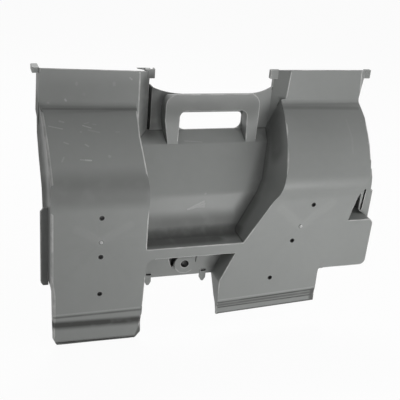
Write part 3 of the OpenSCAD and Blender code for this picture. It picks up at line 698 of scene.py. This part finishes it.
def rimTree():
    tree = bpy.data.node_groups.new("holeRims", "GeometryNodeTree")
    tree.interface.new_socket(name="Geometry", in_out="OUTPUT", socket_type="NodeSocketGeometry")
    for label, kind in (("Geometry", "NodeSocketGeometry"), ("Ring Radius", number), ("Bead Radius", number),
                        ("Ring Steps", "NodeSocketInt"), ("Bead Steps", "NodeSocketInt"),
                        ("Plastic", "NodeSocketMaterial")):
        tree.interface.new_socket(name=label, in_out="INPUT", socket_type=kind)
    given, gives = tree.nodes.new("NodeGroupInput").outputs, tree.nodes.new("NodeGroupOutput").inputs

    def circle(which):
        return put(tree, "GeometryNodeCurvePrimitiveCircle",
                   {"Radius": given[which + " Radius"], "Resolution": given[which + " Steps"]}).outputs["Curve"]

    rim = put(tree, "GeometryNodeCurveToMesh", {"Curve": circle("Ring"), "Profile Curve": circle("Bead")})
    facingFront = (math.radians(90), 0, 0)
    placed = put(tree, "GeometryNodeInstanceOnPoints", {
        "Points": given["Geometry"], "Instance": rim.outputs["Mesh"], "Rotation": facingFront})
    real = put(tree, "GeometryNodeRealizeInstances", {"Geometry": placed.outputs["Instances"]})
    smooth = put(tree, "GeometryNodeSetShadeSmooth", {"Geometry": real.outputs["Geometry"]})
    coated = put(tree, "GeometryNodeSetMaterial", {"Geometry": smooth.outputs["Geometry"],
                                                   "Material": given["Plastic"]})
    tree.links.new(coated.outputs["Geometry"], gives["Geometry"])
    return tree


def makeRims(r, material):
    points = bpy.data.meshes.new("holeRims")
    points.from_pydata([(x, y + r["sunk"], z) for x, y, z in r["places"]], [], [])
    piece = added("holeRims", points)
    tree = rimTree()
    modifier = piece.modifiers.new("rims", "NODES")
    modifier.node_group = tree
    sizes = {"Ring Radius": r["ringRadius"], "Bead Radius": r["beadRadius"], "Ring Steps": r["ringSteps"],
             "Bead Steps": r["beadSteps"], "Plastic": material}
    for item in tree.interface.items_tree:
        if item.in_out == "INPUT" and item.name in sizes:
            modifier[item.identifier] = sizes[item.name]
    done = applied(piece)
    work = bmesh.new()
    work.from_mesh(done)
    bmesh.ops.recalc_face_normals(work, faces=work.faces)
    work.to_mesh(done)
    work.free()
    piece.data = done
    return piece


rimPlastic = plasticWithWearAndPaintedLight("rimPlastic", {**plastic, "grey": plastic["rimGrey"], "gates": []}, groups)
rims = makeRims(holeRims, rimPlastic)
print("hole rims made:", len(rims.data.polygons), "faces")

# light and floor
room = {
    "white": 1.0,
    "fill": 0.28,
    "floorGrey": 0.8,
    "floorWhite": 0.95,      # how much of the floor that the camera sees is plain white
    "floorSize": 14.0,
    "floorGap": 0.0004,      # between the floor and the part's feet
    # name, place, aim, size, watts
    "lamps": [("right", (1.83, -0.65, 1.19), (0.04, 0, 0.09), 1.0, 8.5),
              ("low", (0.30, -0.76, 0.0), (0.04, 0, 0.0), 0.4, 3.6),
              ("behind", (0.04, 1.1, 1.4), (0.04, 0, 0.09), 1.0, 15.0)],
}


def seenDirectly(tree, most):
    # 1 for rays that come straight from the camera or off a mirror
    path = put(tree, "ShaderNodeLightPath").outputs
    seen = calc(tree, "MAXIMUM", path["Is Camera Ray"], path["Is Glossy Ray"])
    return calc(tree, "MULTIPLY", calc(tree, "MAXIMUM", seen, path["Is Transmission Ray"]), most)


def setWorld(r):
    world = bpy.data.worlds.new("studio")
    bpy.context.scene.world = world
    world.use_nodes = True
    tree = world.node_tree
    tree.nodes.clear()
    plain = put(tree, "ShaderNodeBackground", {"Color": (1, 1, 1, 1), "Strength": r["fill"]})
    white = put(tree, "ShaderNodeBackground", {"Color": (1, 1, 1, 1), "Strength": r["white"]})
    mix = put(tree, "ShaderNodeMixShader", {0: seenDirectly(tree, 1.0),
                                            1: plain.outputs[0], 2: white.outputs[0]})
    put(tree, "ShaderNodeOutputWorld", {0: mix.outputs[0]})


def layFloor(r):
    mat = bpy.data.materials.new("paleFloor")
    mat.use_nodes = True
    tree = mat.node_tree
    tree.nodes.clear()
    g = r["floorGrey"]
    plain = put(tree, "ShaderNodeBsdfDiffuse", {"Color": (g, g, g, 1)})
    white = put(tree, "ShaderNodeEmission", {"Color": (1, 1, 1, 1), "Strength": r["white"]})
    mix = put(tree, "ShaderNodeMixShader", {0: seenDirectly(tree, r["floorWhite"]),
                                            1: plain.outputs[0], 2: white.outputs[0]})
    put(tree, "ShaderNodeOutputMaterial", {0: mix.outputs[0]})
    h, z = r["floorSize"] / 2, cadBox[0][2] - r["floorGap"]
    mesh = bpy.data.meshes.new("floor")
    mesh.from_pydata([(-h, -h, z), (h, -h, z), (h, h, z), (-h, h, z)], [], [(0, 1, 2, 3)])
    mesh.materials.append(mat)
    floor = added("floor", mesh)


def lamp(name, place, aim, size, power):
    light = bpy.data.lights.new(name, "AREA")
    light.shape = "DISK"
    light.size, light.energy = size, power
    holder = added(name, light)
    holder.location = place
    holder.rotation_euler = (Vector(aim) - Vector(place)).to_track_quat("-Z", "Y").to_euler()


setWorld(room)
layFloor(room)
for each in room["lamps"]:
    lamp(*each)
print("light and floor set")

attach(shell, "root")
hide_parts("kick_plate")
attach(rims, "root")
